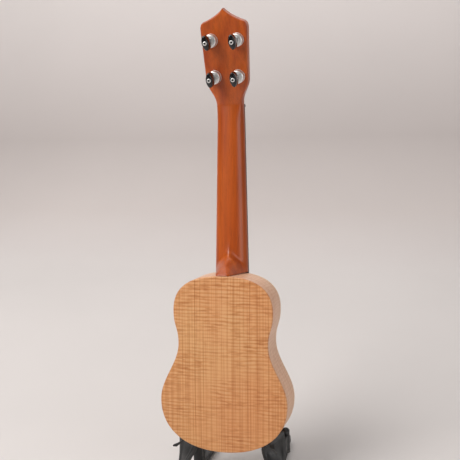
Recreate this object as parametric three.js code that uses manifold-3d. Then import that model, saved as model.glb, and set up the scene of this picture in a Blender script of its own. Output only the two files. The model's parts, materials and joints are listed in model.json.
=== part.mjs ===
// A small four-string guitar (a long-neck soprano ukulele) resting on a folding plastic stand.
// Millimetres, +Z up. The instrument leans back, its soundboard against the stand, its back to -Y.
import * as THREE from 'three';
import { mergeVertices } from 'three/addons/utils/BufferGeometryUtils.js';
import Module from 'manifold-3d';

const wasm = await Module();
wasm.setup();

// ---------- driving dimensions ----------
const gap = 0.3; // clearance between touching pieces
const lean = THREE.MathUtils.degToRad(10); // backward lean of the instrument
const tailHeight = 62; // height of the soundboard's lower edge above the floor

const bodyLength = 242;
const bodyDepth = 55;
const lowerBout = { half: 88.7, z: 68.8 };
const waist = { half: 62.7, z: 148.5 };
const upperBout = { half: 69.4, z: 193.7 };
const plateThick = 2;
const ribThick = 2;

const scaleLength = 410;
const neckLength = 227.7; // body to nut, the 14th fret
const nutZ = bodyLength + neckLength;
const boardThick = 4.5;
const boardLength = 262;
const boardHalfAtNut = 18.7;
const boardHalfAtBody = 23.3;
const fretCount = 14;
const fretHeight = 1.1;
const nutThick = 4.7;
const nutTop = 6.6;

// the heel: height above the body, depth, half width of its crest
const heelShape = [
  [0, bodyDepth, 9.4], [2, 54.4, 8.8], [6, 48.2, 7], [10.6, 41, 5.2], [15, 32.4, 3.6],
  [19, 26, 2.6], [24, 21.6, 1.8], [31, 18.3, 1.2], [42, 15.4, 0.6], [52, 12, 0.6],
];
const neckDepthAtNut = 14;
const neckDepthAtHeel = 16;

const headAngle = THREE.MathUtils.degToRad(14.6);
const headLength = 134.3;
const headThick = 13.8;
const veneerThick = 2;
const headHalfWide = 32.2;
const headHalfLow = 29;

const soundholeZ = 174;
const soundholeRadius = 24;
const rosetteInner = 28.5;
const rosetteOuter = 33.5;
const rosetteDepth = 0.7;

const bridgeZ = 57;
const bridgeHalf = 37;
const bridgeWide = 21;
const bridgeThick = 7.5;
const saddleZ = nutZ - scaleLength;
const saddleTop = 11.2;
const saddleHalf = 27;

const stringRadius = 0.4;
const stringHalfAtNut = 13.8;
const stringHalfAtSaddle = 20.5;

// tuners: distance from the nut along the headstock, distance from its centre, button turn
const tuners = [
  { name: 'a', along: 44.7, across: -16.3, turn: 4 },
  { name: 'b', along: 93.2, across: -17.9, turn: 12 },
  { name: 'c', along: 93.2, across: 17.9, turn: 10 },
  { name: 'd', along: 44.7, across: 16.3, turn: 8 },
];
const housingRadius = 9;
const housingHeight = 10;
const sleeveRadius = 4.6;
const postRadius = 3;
const postHeight = 12;
const buttonHalfLong = 10;
const buttonThick = 9;
const buttonBottom = 12.5;
const buttonTop = 32;

// stand
const pinX = 75;
const pinY = 8;
const pinRadius = 2.2;
const barrelRadius = 5.2;
const knuckleLow = tailHeight - 10;
const knuckleHigh = tailHeight + 12;
const lugThick = 6;
const wingThick = 8;
const legUnder = 4; // the leg's top stays this far under the rib, inside the saddle
const shelfTurn = THREE.MathUtils.degToRad(35); // the saddle's outward direction, in plan
const shelfWide = 17;
const lipWide = 18;
const lipReach = 0.3; // share of the saddle's length that carries the lip
const padThick = 2.5;
const flangeThick = 3.5;
const footThick = 3;
const postX = 59;
const postHalf = 7;
const postFront = 13;
const postBack = 27;
const frontFoot = { x: 77, y: -39 };
const railBack = 116;
const railHigh = 12;
const railToe = 6; // how far the rear rails turn inward at their back ends
const restTop = 113; // top of the backrest, measured along the leaning soundboard
const restFront = 4.6;
const restBack = 20;
const crossLow = 78;
const crossHigh = 108;
const crossFront = 16.5;
const crossBack = 26;

// the origin lies under the middle of the overall box
const frontY = -bodyDepth * Math.cos(lean);
const originY = -(frontY + railBack) / 2;

// ---------- helpers ----------
function solid(geometry) {
  const bare = geometry.clone();
  bare.deleteAttribute('normal');
  bare.deleteAttribute('uv');
  const merged = mergeVertices(bare, 1e-4);
  const vertProperties = new Float32Array(merged.attributes.position.array);
  const triVerts = new Uint32Array(merged.index.array);
  const mesh = new wasm.Mesh({ numProp: 3, vertProperties, triVerts });
  mesh.merge();
  return new wasm.Manifold(mesh);
}

function geometryOf(manifold) {
  const mesh = manifold.getMesh();
  const geometry = new THREE.BufferGeometry();
  geometry.setAttribute('position', new THREE.BufferAttribute(mesh.vertProperties, 3));
  geometry.setIndex(new THREE.BufferAttribute(mesh.triVerts, 1));
  return geometry;
}

function joined(...geometries) {
  return geometryOf(geometries.map(solid).reduce((all, one) => all.add(one)));
}

function cut(geometry, ...tools) {
  return geometryOf(tools.map(solid).reduce((rest, tool) => rest.subtract(tool), solid(geometry)));
}

function mirrored(geometry) {
  const copy = mergeVertices(bareCopy(geometry), 1e-4);
  copy.scale(-1, 1, 1);
  const index = copy.index.array;
  for (let i = 0; i < index.length; i += 3) {
    const first = index[i];
    index[i] = index[i + 1];
    index[i + 1] = first;
  }
  return copy;
}

function bareCopy(geometry) {
  const copy = geometry.clone();
  copy.deleteAttribute('normal');
  copy.deleteAttribute('uv');
  return copy;
}

// moves every corner of a geometry by a formula
function reshaped(geometry, formula) {
  const places = geometry.attributes.position;
  const point = new THREE.Vector3();
  for (let i = 0; i < places.count; i += 1) {
    point.fromBufferAttribute(places, i);
    formula(point);
    places.setXYZ(i, point.x, point.y, point.z);
  }
  return geometry;
}

function material(color, roughness, metalness = 0) {
  return new THREE.MeshStandardMaterial({ color, roughness, metalness });
}

// an outline in the X-Z plane made solid between two depths along Y
function slab(outline, yLow, yHigh, holes = []) {
  const shape = new THREE.Shape(outline);
  holes.forEach((hole) => shape.holes.push(hole));
  const geometry = new THREE.ExtrudeGeometry(shape, { depth: yHigh - yLow, bevelEnabled: false });
  return geometry.rotateX(Math.PI / 2).translate(0, yHigh, 0);
}

function box(xLow, xHigh, yLow, yHigh, zLow, zHigh) {
  const geometry = new THREE.BoxGeometry(xHigh - xLow, yHigh - yLow, zHigh - zLow);
  return geometry.translate((xLow + xHigh) / 2, (yLow + yHigh) / 2, (zLow + zHigh) / 2);
}

// a round piece turned about an upright axis, from radius-height pairs
function turned(pairs, sides = 24) {
  const points = pairs.map(([radius, height]) => new THREE.Vector2(radius, height));
  return new THREE.LatheGeometry(points, sides).rotateX(Math.PI / 2);
}

const woods = {
  maple: material(0xd9a566, 0.35),
  spruce: material(0xe2bd84, 0.45),
  mahogany: material(0x8a3d22, 0.38),
  ebony: material(0x2b201b, 0.45),
  bare: material(0xc9a06a, 0.8),
};
const metals = {
  satin: material(0xb9bcc0, 0.3, 1),
  fret: material(0xc8c8c4, 0.25, 1),
};
const plastics = {
  stand: material(0x222325, 0.55),
  button: material(0x0b0b0c, 0.12),
  bone: material(0xeee6d2, 0.5),
  string: material(0xd8d4cc, 0.3),
};
const rubber = material(0x18181a, 0.9);

// ---------- body ----------
function bodyCurves() {
  const at = (x, z) => new THREE.Vector2(x, z);
  return [
    new THREE.CubicBezierCurve(
      at(0, 0), at(57.4, 0), at(lowerBout.half, lowerBout.z - 40.3), at(lowerBout.half, lowerBout.z)),
    new THREE.CubicBezierCurve(
      at(lowerBout.half, lowerBout.z), at(lowerBout.half, lowerBout.z + 29.4),
      at(waist.half, waist.z - 28.6), at(waist.half, waist.z)),
    new THREE.CubicBezierCurve(
      at(waist.half, waist.z), at(waist.half, waist.z + 21.8),
      at(upperBout.half, upperBout.z - 23.9), at(upperBout.half, upperBout.z)),
    new THREE.CubicBezierCurve(
      at(upperBout.half, upperBout.z), at(upperBout.half, upperBout.z + 27.1),
      at(53, bodyLength), at(0, bodyLength)),
  ];
}

// the right half of the body outline, tail to neck, moved inward by an inset
function halfOutline(inset, stepsPerCurve = 12) {
  const points = [];
  bodyCurves().forEach((curve, order) => {
    for (let i = order === 0 ? 0 : 1; i <= stepsPerCurve; i += 1) {
      const place = curve.getPoint(i / stepsPerCurve);
      const along = curve.getTangent(i / stepsPerCurve);
      points.push(new THREE.Vector2(place.x - along.y * inset, place.y + along.x * inset));
    }
  });
  points[0].x = 0;
  points[points.length - 1].x = 0;
  return points;
}

function fullOutline(inset) {
  const right = halfOutline(inset);
  const left = right.slice(1, -1).reverse().map((p) => new THREE.Vector2(-p.x, p.y));
  return right.concat(left);
}

// half width of the body at a place along it
function halfWidthAt(z, inset) {
  const points = halfOutline(inset);
  for (let i = 1; i < points.length; i += 1) {
    if (points[i].y >= z) {
      const share = (z - points[i - 1].y) / (points[i].y - points[i - 1].y);
      return THREE.MathUtils.lerp(points[i - 1].x, points[i].x, share);
    }
  }
  return 0;
}

// height of the lower outline above the tail at a distance from the centre
function outlineHeight(x) {
  const lower = bodyCurves()[0];
  let low = 0;
  let high = 1;
  for (let i = 0; i < 24; i += 1) {
    const middle = (low + high) / 2;
    if (lower.getPoint(middle).x < Math.abs(x)) low = middle;
    else high = middle;
  }
  return lower.getPoint(low).y;
}

function circleHole(x, z, radius) {
  const hole = new THREE.Path();
  hole.absarc(x, z, radius, 0, Math.PI * 2, true);
  return hole;
}

function ring(inner, outer, yLow, yHigh, z) {
  const steps = 36;
  const geometry = turned(
    [[inner, yLow], [outer, yLow], [outer, yHigh], [inner, yHigh], [inner, yLow]], steps);
  return geometry.rotateX(-Math.PI / 2).translate(0, 0, z);
}

function soundboard() {
  const plate = slab(
    fullOutline(0), -plateThick, 0, [circleHole(0, soundholeZ, soundholeRadius)]);
  const channel = ring(
    rosetteInner - gap, rosetteOuter + gap, -rosetteDepth - gap, 1, soundholeZ);
  return cut(plate, channel);
}

function rib(side) {
  const outer = halfOutline(0);
  const inner = halfOutline(ribThick);
  outer[0].x = gap / 2;
  inner[0].x = gap / 2;
  const end = outer.length - 1;
  outer[end].x = gap / 2;
  inner[end].x = gap / 2;
  const strip = slab(
    outer.concat(inner.reverse()), -bodyDepth + plateThick + gap, -plateThick - gap);
  return side > 0 ? strip : mirrored(strip);
}

function brace(z, tall, wide, onBack) {
  const half = halfWidthAt(z, ribThick) - 2;
  const inside = plateThick + gap;
  const low = onBack ? -bodyDepth + inside : -inside - tall;
  return box(-half, half, low, low + tall, z - wide / 2, z + wide / 2);
}

// a block inside one end of the body, shaped to the ribs that it backs
function block(half, zLow, zHigh) {
  const inside = plateThick + gap;
  const timber = box(-half, half, -bodyDepth + inside, -inside, zLow, zHigh);
  const hollow = slab(fullOutline(ribThick + gap), -bodyDepth, 0);
  return geometryOf(solid(timber).intersect(solid(hollow)));
}

function bridge() {
  const end = bridgeWide / 2;
  const outline = [
    [-bridgeHalf, -end + 5], [-bridgeHalf + 12, -end], [bridgeHalf - 12, -end], [bridgeHalf, -end + 5],
    [bridgeHalf, end - 5], [bridgeHalf - 12, end], [-bridgeHalf + 12, end], [-bridgeHalf, end - 5],
  ].map(([x, z]) => new THREE.Vector2(x, bridgeZ + z));
  const slot = box(
    -saddleHalf - gap, saddleHalf + gap, 4, 20, saddleZ - 1.5 - gap, saddleZ + 1.5 + gap);
  return cut(slab(outline, gap, gap + bridgeThick), slot);
}

// ---------- neck ----------
// outline of the neck's section: from one edge of the fretboard face round the back to the other
// half of the neck's section at a height, from the fretboard's edge to the middle of its back
function neckSection(z, half) {
  const steps = 12;
  const depth = THREE.MathUtils.mapLinear(z, bodyLength, nutZ, neckDepthAtHeel, neckDepthAtNut);
  const section = [];
  for (let i = 0; i <= steps; i += 1) {
    const angle = (i / steps) * Math.PI / 2;
    const x = Math.cos(angle) ** 0.85 * half;
    section.push([x, Math.max(Math.sin(angle) * depth, heelDepth(z - bodyLength, x, half))]);
  }
  return section;
}

// two flat cheeks that meet the heel's crest
function heelDepth(above, x, half) {
  const next = heelShape.findIndex(([up]) => up >= above);
  if (next < 0) {
    return 0;
  }
  const [upLow, depthLow, crestLow] = heelShape[Math.max(next - 1, 0)];
  const [upHigh, depthHigh, crestHigh] = heelShape[next];
  const share = THREE.MathUtils.clamp((above - upLow) / Math.max(upHigh - upLow, gap), 0, 1);
  const depth = THREE.MathUtils.lerp(depthLow, depthHigh, share);
  const crest = THREE.MathUtils.lerp(crestLow, crestHigh, share);
  return depth * Math.min((half - x) / (half - crest), 1);
}

function neckShaft() {
  const steps = 30;
  const ringAt = (z, half) => {
    const section = neckSection(z, half);
    return section.concat(section.slice(0, -1).reverse().map(([x, y]) => [-x, y]));
  };
  const plain = ringAt(nutZ, 1);
  const shape = new THREE.Shape(plain.map(([x, y]) => new THREE.Vector2(x, -y)));
  const geometry = new THREE.ExtrudeGeometry(shape, { depth: 1, steps, bevelEnabled: false });
  const low = bodyLength + gap;
  const high = nutZ + nutThick + gap;
  return reshaped(geometry, (point) => {
    const place = plain.findIndex(
      ([x, y]) => Math.abs(x - point.x) < 1e-5 && Math.abs(y + point.y) < 1e-5);
    const bend = point.z ** 1.8; // more steps near the heel
    const z = THREE.MathUtils.lerp(low, high, bend);
    const half = Math.min(
      THREE.MathUtils.mapLinear(z, bodyLength, nutZ, boardHalfAtBody, boardHalfAtNut),
      boardHalfAtBody);
    const [x, y] = ringAt(z, half)[place];
    point.set(x, -y, z);
  });
}

function headOutline() {
  const shape = new THREE.Shape();
  const root = boardHalfAtNut;
  shape.moveTo(root, -6);
  shape.lineTo(root, 6);
  shape.bezierCurveTo(root, 20, headHalfLow - 1, 27, headHalfLow, 38.5);
  shape.lineTo(headHalfWide, headLength - 26);
  shape.quadraticCurveTo(headHalfWide, headLength - 19, 27, headLength - 16.8);
  shape.quadraticCurveTo(7, headLength - 8.8, 0, headLength);
  shape.quadraticCurveTo(-7, headLength - 8.8, -27, headLength - 16.8);
  shape.quadraticCurveTo(-headHalfWide, headLength - 19, -headHalfWide, headLength - 26);
  shape.lineTo(-headHalfLow, 38.5);
  shape.bezierCurveTo(-headHalfLow + 1, 27, -root, 20, -root, 6);
  shape.lineTo(-root, -6);
  return shape.getPoints(8);
}

// places something drawn on the headstock: Z along it from the nut, Y out of its face
function onHead(geometry) {
  return geometry.rotateX(headAngle).translate(0, 0, nutZ + nutThick);
}

function tunerHoles() {
  return tuners.map(({ along, across }) => {
    const hole = new THREE.CylinderGeometry(sleeveRadius + gap, sleeveRadius + gap, 60, 24);
    return onHead(hole.translate(across, 0, along - nutThick));
  });
}

function neck() {
  const wood = slab(headOutline(), -headThick, -veneerThick - gap);
  return cut(joined(neckShaft(), onHead(wood)), ...tunerHoles());
}

function headVeneer() {
  const start = 1.2;
  const outline = headOutline().map((p) => new THREE.Vector2(p.x, Math.max(p.y, start)));
  const distinct = outline.filter((p, i) => i === 0 || p.distanceTo(outline[i - 1]) > 1e-6);
  return cut(onHead(slab(distinct, -veneerThick, 0)), ...tunerHoles());
}

function fretboard() {
  const end = nutZ - boardLength;
  const endHalf = THREE.MathUtils.mapLinear(end, bodyLength, nutZ, boardHalfAtBody, boardHalfAtNut);
  const outline = [
    [-endHalf, end], [endHalf, end], [boardHalfAtNut, nutZ], [-boardHalfAtNut, nutZ],
  ].map(([x, z]) => new THREE.Vector2(x, z));
  return slab(outline, gap, gap + boardThick);
}

function fret(number) {
  const z = nutZ - scaleLength * (1 - 2 ** (-number / 12));
  const half = THREE.MathUtils.mapLinear(z, bodyLength, nutZ, boardHalfAtBody, boardHalfAtNut) - 0.3;
  const crown = new THREE.Shape();
  const base = gap + boardThick + gap;
  crown.absarc(0, 0, fretHeight, 0, Math.PI, false);
  const geometry = new THREE.ExtrudeGeometry(
    crown, { depth: half * 2, bevelEnabled: false, curveSegments: 6 });
  return geometry.rotateY(Math.PI / 2).translate(-half, base, z);
}

function nut() {
  return box(-boardHalfAtNut, boardHalfAtNut, gap, nutTop, nutZ + gap, nutZ + nutThick);
}

function stringTube(order) {
  const share = THREE.MathUtils.mapLinear(order, 0, 3, -1, 1);
  const atNut = share * stringHalfAtNut;
  const atSaddle = share * stringHalfAtSaddle;
  const { along, across } = tuners[order];
  const inward = -Math.sign(across) * (postRadius + stringRadius + gap);
  const end = new THREE.Vector3(across + inward, 6, along - nutThick)
    .applyAxisAngle(new THREE.Vector3(1, 0, 0), headAngle)
    .add(new THREE.Vector3(0, 0, nutZ + nutThick));
  const route = [
    new THREE.Vector3(atSaddle, gap + bridgeThick + 2 * gap + stringRadius, saddleZ - 8),
    new THREE.Vector3(atSaddle, saddleTop + 2 * gap + stringRadius, saddleZ),
    new THREE.Vector3(atNut, nutTop + 3 * gap + stringRadius, nutZ + nutThick / 2),
    end,
  ];
  return polyTube(route, stringRadius, 8);
}

// a tube along straight stretches, mitred where they meet
function polyTube(route, radius, sides) {
  const shape = new THREE.Shape();
  for (let i = 0; i < sides; i += 1) {
    const turn = (i / sides) * Math.PI * 2;
    const place = [radius * Math.cos(turn), radius * Math.sin(turn)];
    if (i === 0) shape.moveTo(...place);
    else shape.lineTo(...place);
  }
  const steps = route.length - 1;
  const geometry = new THREE.ExtrudeGeometry(shape, { depth: steps, steps, bevelEnabled: false });
  return reshaped(geometry, (point) => {
    const centre = route[Math.round(point.z)];
    point.set(centre.x + point.x, centre.y + point.y, centre.z);
  });
}

// ---------- tuners, drawn with +Z out of the back of the headstock ----------
function housing() {
  const through = -headThick - 1.5;
  return turned([
    [sleeveRadius, through], [sleeveRadius, gap], [housingRadius, gap],
    [housingRadius, housingHeight - 1.5], [housingRadius - 1.5, housingHeight],
    [5.2, housingHeight], [4.6, housingHeight + 1.6], [postRadius + gap, housingHeight + 1.6],
    [postRadius + gap, through], [sleeveRadius, through],
  ], 20);
}

function post() {
  return turned([
    [0, -headThick - postHeight], [2.6, -headThick - postHeight],
    [postRadius, -headThick - postHeight + 0.6], [postRadius, -headThick - 7],
    [2.5, -headThick - 6], [postRadius, -headThick - 5], [postRadius, 1], [0, 1],
  ], 14);
}

function button() {
  const shape = new THREE.Shape();
  const half = buttonHalfLong - 2;
  const low = buttonBottom + 2;
  const high = buttonTop - 2;
  shape.moveTo(3, low);
  shape.quadraticCurveTo(half, low + 1, half, low + 8);
  shape.quadraticCurveTo(half, high, 3, high);
  shape.lineTo(-3, high);
  shape.quadraticCurveTo(-half, high, -half, low + 8);
  shape.quadraticCurveTo(-half, low + 1, -3, low);
  const settings = {
    depth: buttonThick - 4, bevelThickness: 2, bevelSize: 2, bevelSegments: 2, curveSegments: 5,
  };
  const paddle = new THREE.ExtrudeGeometry(shape, settings);
  paddle.translate(0, 0, -(buttonThick - 4) / 2).rotateX(Math.PI / 2);
  const stem = turned([[0, 2], [postRadius, 2], [postRadius, buttonBottom + 3], [0, buttonBottom + 3]], 14);
  return joined(paddle, stem);
}

// ---------- stand ----------
// height of the instrument's rib above the floor over a place on the stand
function ribHeight(x, y) {
  return tailHeight + outlineHeight(x) / Math.cos(lean) - y * Math.tan(lean);
}

// a curve in plan and height through a few places, as a function of a share of its length
function routed(places) {
  const curve = new THREE.CatmullRomCurve3(places.map((p) => new THREE.Vector3(...p)), false, 'centripetal');
  return (share) => curve.getPoint(share);
}

// the leg of a wing: a blade whose front and rear edges run down, forward and outward to the foot
function wingLeg() {
  const front = routed([
    [49, -25, 82], [48, -26, 60], [57.5, -36, 43], [64, -43, 24], [70, -52, footThick + gap],
  ]);
  const rear = routed([
    [74, -5, 86], [76, -5, 62], [75, -10, 43], [76, -19, 24], [82, -26, footThick + gap],
  ]);
  const blade = new THREE.BoxGeometry(1, 1, 1, 1, 6, 16).translate(0.5, 0.5, 0.5);
  return reshaped(blade, (point) => {
    const low = front(1 - point.z);
    const high = rear(1 - point.z);
    const across = new THREE.Vector2(high.y - low.y, low.x - high.x).normalize();
    const out = (point.x - 0.5) * wingThick;
    const edge = point.y;
    point.x = THREE.MathUtils.lerp(low.x, high.x, edge) + across.x * out;
    point.y = THREE.MathUtils.lerp(low.y, high.y, edge) + across.y * out;
    point.z = Math.min(THREE.MathUtils.lerp(low.z, high.z, edge), ribHeight(point.x, point.y) - legUnder);
  });
}

// the saddle: a shelf under the rib, from the front of the leg back to the hinge, as wide as
// shelfWide under the rib, then curling out and down into a lip
function shelfPlace(along, across) {
  const lerp = THREE.MathUtils.lerp;
  const inner = new THREE.Vector2(lerp(46, 62, along), lerp(-27, -8, along));
  const outward = new THREE.Vector2(Math.cos(shelfTurn), -Math.sin(shelfTurn));
  const flat = Math.min(across, shelfWide);
  const front = Math.max(0, 1 - along / lipReach);
  const lip = Math.max(0, across - shelfWide) * lerp(0.12, 1, front ** 1.3);
  const place = inner.clone().addScaledVector(outward, flat + lip);
  const held = inner.clone().addScaledVector(outward, flat);
  const bend = 5 * (1 - Math.exp(-lip / 3)) + lip * lip * 0.012; // a step down, then a slow curl
  const drop = bend + lip * 4 * Math.min(along, lipReach);
  return { x: place.x, y: place.y, top: ribHeight(held.x, held.y) - gap - drop };
}

function shelf(alongLow, alongHigh, acrossLow, acrossHigh, below, thick) {
  const strip = new THREE.BoxGeometry(1, 1, 1, 9, 6, 1).translate(0.5, 0.5, 0.5);
  return reshaped(strip, (point) => {
    const across = THREE.MathUtils.lerp(acrossLow, acrossHigh, point.x);
    const along = THREE.MathUtils.lerp(alongLow, alongHigh, point.y);
    const { x, y, top } = shelfPlace(along, across);
    point.set(x, y, top - below - thick * (1 - point.z));
  });
}

function upright(radius, zLow, zHigh, sides = 24) {
  const rod = new THREE.CylinderGeometry(radius, radius, zHigh - zLow, sides);
  return rod.rotateX(Math.PI / 2).translate(pinX, pinY, (zLow + zHigh) / 2);
}

function wing() {
  const saddle = shelf(0, 1, 0, shelfWide + lipWide, padThick, flangeThick);
  const barrel = upright(barrelRadius, knuckleLow, knuckleHigh);
  const link = box(pinX - 5, pinX + 3, -8, pinY - 2, knuckleLow, knuckleHigh);
  const bore = upright(pinRadius + gap, 0, tailHeight * 2);
  return cut(joined(wingLeg(), saddle, barrel, link), bore);
}

function saddlePad() {
  return shelf(0.04, 0.94, 0.8, shelfWide - 0.5, 0, padThick - gap);
}

function hingePin() {
  const low = knuckleLow - gap - lugThick - 1;
  const high = knuckleHigh + gap + lugThick;
  const headPairs = [
    [0, low], [pinRadius, low], [pinRadius, high + gap], [pinRadius + 1.8, high + gap],
    [pinRadius + 1.8, high + 1.5], [pinRadius + 1, high + 2.1], [0, high + 2.1],
  ];
  return turned(headPairs, 16).translate(pinX, pinY, 0);
}

function lug(zLow, zHigh) {
  const arm = box(postX, pinX, pinY - 2, pinY + barrelRadius, zLow, zHigh);
  const heel = box(postX, postX + postHalf, pinY - 2, postFront + 2, zLow, zHigh);
  return joined(arm, heel, upright(barrelRadius, zLow, zHigh));
}

function railShift(y) {
  return railToe * Math.max(0, y - postFront) / (railBack - postFront);
}

function rail(xLow, xHigh) {
  const low = footThick + gap;
  return reshaped(box(xLow, xHigh, postFront, railBack, low, low + railHigh), (point) => {
    point.x -= railShift(point.y);
  });
}

function backFrame() {
  const leaning = (geometry) => geometry.rotateX(-lean).translate(0, 0, tailHeight);
  const half = postX + postHalf;
  const inner = postX - postHalf;
  const side = joined(
    box(inner, half, postFront, postBack, footThick + gap, tailHeight + 34),
    leaning(box(inner, half, restFront + padThick, restBack, 33, restTop)),
    rail(inner, half),
    lug(knuckleLow - gap - lugThick, knuckleLow - gap),
    lug(knuckleHigh + gap, knuckleHigh + gap + lugThick));
  const bore = upright(pinRadius + gap, 0, tailHeight * 2);
  const right = cut(side, bore);
  const cross = leaning(box(-inner - 2, inner + 2, crossFront, crossBack, crossLow, crossHigh));
  return joined(right, mirrored(right), cross);
}

function backrestPad() {
  const half = postHalf - 1;
  return box(postX - half, postX + half, gap, restFront + padThick - gap, 72, restTop - 3);
}

function foot(x, y) {
  return turned([[0, 0], [5.5, 0], [6, 0.8], [6, footThick], [0, footThick]], 16).translate(x, y, 0);
}

// ---------- assembly ----------
const model = new THREE.Group();
model.position.y = originY;

const instrument = new THREE.Group();
instrument.position.z = tailHeight;
instrument.rotation.x = -lean;
model.add(instrument);

const headstock = new THREE.Group();
headstock.position.z = nutZ + nutThick;
headstock.rotation.x = headAngle;
instrument.add(headstock);

function add(parent, name, geometry, look) {
  const mesh = new THREE.Mesh(geometry, look);
  mesh.name = name;
  parent.add(mesh);
  return mesh;
}

add(instrument, 'soundboard', soundboard(), woods.spruce);
add(instrument, 'back_plate', slab(fullOutline(0), -bodyDepth, -bodyDepth + plateThick), woods.maple);
add(instrument, 'rib_right', rib(1), woods.maple);
add(instrument, 'rib_left', rib(-1), woods.maple);
add(instrument, 'neck_block', block(26, 214, bodyLength), woods.bare);
add(instrument, 'tail_block', block(22, 0, 17), woods.bare);
add(instrument, 'top_brace_upper', brace(204, 9, 6, false), woods.bare);
add(instrument, 'top_brace_lower', brace(138, 9, 6, false), woods.bare);
add(instrument, 'back_brace_upper', brace(196, 8, 7, true), woods.bare);
add(instrument, 'back_brace_lower', brace(92, 8, 7, true), woods.bare);
add(
  instrument, 'rosette',
  ring(rosetteInner, rosetteOuter, -rosetteDepth, 0, soundholeZ), woods.ebony);
add(instrument, 'bridge', bridge(), woods.ebony);
add(
  instrument, 'bridge_saddle',
  box(-saddleHalf, saddleHalf, 4 + gap, saddleTop, saddleZ - 1.5, saddleZ + 1.5), plastics.bone);
add(instrument, 'neck', neck(), woods.mahogany);
add(instrument, 'headstock_veneer', headVeneer(), woods.mahogany);
add(instrument, 'fretboard', fretboard(), woods.ebony);
add(instrument, 'nut', nut(), plastics.bone);
for (let number = 1; number <= fretCount; number += 1) {
  add(instrument, `fret_${String(number).padStart(2, '0')}`, fret(number), metals.fret);
}
tuners.forEach(({ name, along, across, turn }, order) => {
  add(instrument, `string_${order + 1}`, stringTube(order), plastics.string);
  const seat = new THREE.Group();
  seat.position.set(across, -headThick, along - nutThick);
  seat.rotation.x = Math.PI / 2;
  headstock.add(seat);
  add(seat, `tuner_housing_${name}`, housing(), metals.satin);
  add(seat, `tuner_post_${name}`, post(), metals.satin);
  const handle = add(seat, `tuner_button_${name}`, button(), plastics.button);
  handle.rotation.z = Math.PI / 2 + THREE.MathUtils.degToRad(turn);
});

add(model, 'back_frame', backFrame(), plastics.stand);
const rightWing = wing();
const rightPad = saddlePad();
const rightPin = hingePin();
const rightRest = backrestPad();
add(model, 'wing_right', rightWing, plastics.stand);
add(model, 'wing_left', mirrored(rightWing), plastics.stand);
add(model, 'saddle_pad_right', rightPad, rubber);
add(model, 'saddle_pad_left', mirrored(rightPad), rubber);
add(model, 'hinge_pin_right', rightPin, metals.satin);
add(model, 'hinge_pin_left', mirrored(rightPin), metals.satin);
const rearFootY = railBack - 10;
const rearFootX = postX - railShift(rearFootY);
[1, -1].forEach((side) => {
  const word = side > 0 ? 'right' : 'left';
  add(model, `front_foot_${word}`, foot(side * frontFoot.x, frontFoot.y), rubber);
  add(model, `rear_foot_${word}`, foot(side * rearFootX, rearFootY), rubber);
});
const restGroup = new THREE.Group();
restGroup.position.z = tailHeight;
restGroup.rotation.x = -lean;
model.add(restGroup);
add(restGroup, 'rest_pad_right', rightRest, rubber);
add(restGroup, 'rest_pad_left', mirrored(rightRest), rubber);

export default model;
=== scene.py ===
import json
from math import atan2, copysign, cos, dist, exp, pi, radians, sin, sqrt, tan

import bpy
import bmesh
from mathutils import Matrix, Vector


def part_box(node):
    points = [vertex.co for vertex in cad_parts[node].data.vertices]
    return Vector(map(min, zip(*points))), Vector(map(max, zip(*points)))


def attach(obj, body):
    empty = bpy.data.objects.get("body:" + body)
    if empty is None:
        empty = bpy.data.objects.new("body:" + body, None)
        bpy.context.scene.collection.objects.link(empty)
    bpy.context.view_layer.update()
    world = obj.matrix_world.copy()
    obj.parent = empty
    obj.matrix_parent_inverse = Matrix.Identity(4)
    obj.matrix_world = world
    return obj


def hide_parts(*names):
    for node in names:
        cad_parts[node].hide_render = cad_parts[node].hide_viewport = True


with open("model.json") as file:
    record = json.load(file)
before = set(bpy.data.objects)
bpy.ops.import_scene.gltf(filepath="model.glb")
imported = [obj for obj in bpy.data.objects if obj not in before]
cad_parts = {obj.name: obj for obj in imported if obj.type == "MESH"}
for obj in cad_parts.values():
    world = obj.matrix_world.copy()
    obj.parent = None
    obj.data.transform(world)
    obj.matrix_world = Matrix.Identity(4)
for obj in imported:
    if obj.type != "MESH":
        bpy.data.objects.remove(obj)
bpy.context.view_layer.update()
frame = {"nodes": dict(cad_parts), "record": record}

MM = 0.001

# ---- places
record = frame["record"]
lift = next(j for j in record["behaviour"]["joints"] if j["name"] == "ukulele_lift")
LEAN = atan2(lift["axis"][1], lift["axis"][2])
board_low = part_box("soundboard")[0]
TAIL = board_low.z / MM
PLATE = 2
ORIGIN_Y = board_low.y / MM + PLATE * cos(LEAN)

BODY_LENGTH = 242
BODY_DEPTH = 55
NUT_Z = 469.7
NUT_THICK = 4.7
NUT_TOP = 6.6
SCALE = 410
BOARD_THICK = 4.5
BOARD_LENGTH = 262
HALF_AT_NUT = 18.7
HALF_AT_BODY = 23.3
HEAD_ANGLE = radians(14.6)
HEAD_THICK = 13.8
VENEER = 2
HOLE_Z = 174
HOLE_RADIUS = 24
BRIDGE_Z = 57
SADDLE_Z = NUT_Z - SCALE
SADDLE_TOP = 11.2
GAP = 0.3
HEEL_END = 300
NECK_DEPTH_LOW, NECK_DEPTH_NUT = 16, 14
FRET_COUNT, CAD_FRETS = 17, 14
STRING_ABOVE = 0.45
TUNERS = {"a": (44.7, -16.3, 4), "b": (93.2, -17.9, 12), "c": (93.2, 17.9, 10), "d": (44.7, 16.3, 8)}

# the frames that pieces are drawn in: the stand, the leaning instrument, its tilted headstock
STAND = Matrix.Translation((0, ORIGIN_Y * MM, 0))
UKE = Matrix.Translation((0, ORIGIN_Y * MM, TAIL * MM)) @ Matrix.Rotation(-LEAN, 4, "X")
HEAD = UKE @ Matrix.Translation((0, 0, (NUT_Z + NUT_THICK) * MM)) @ Matrix.Rotation(HEAD_ANGLE, 4, "X")


def placed(name, data, place):
    """A new object in the scene."""
    obj = bpy.data.objects.new(name, data)
    bpy.context.scene.collection.objects.link(obj)
    obj.matrix_world = place
    return obj


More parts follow.
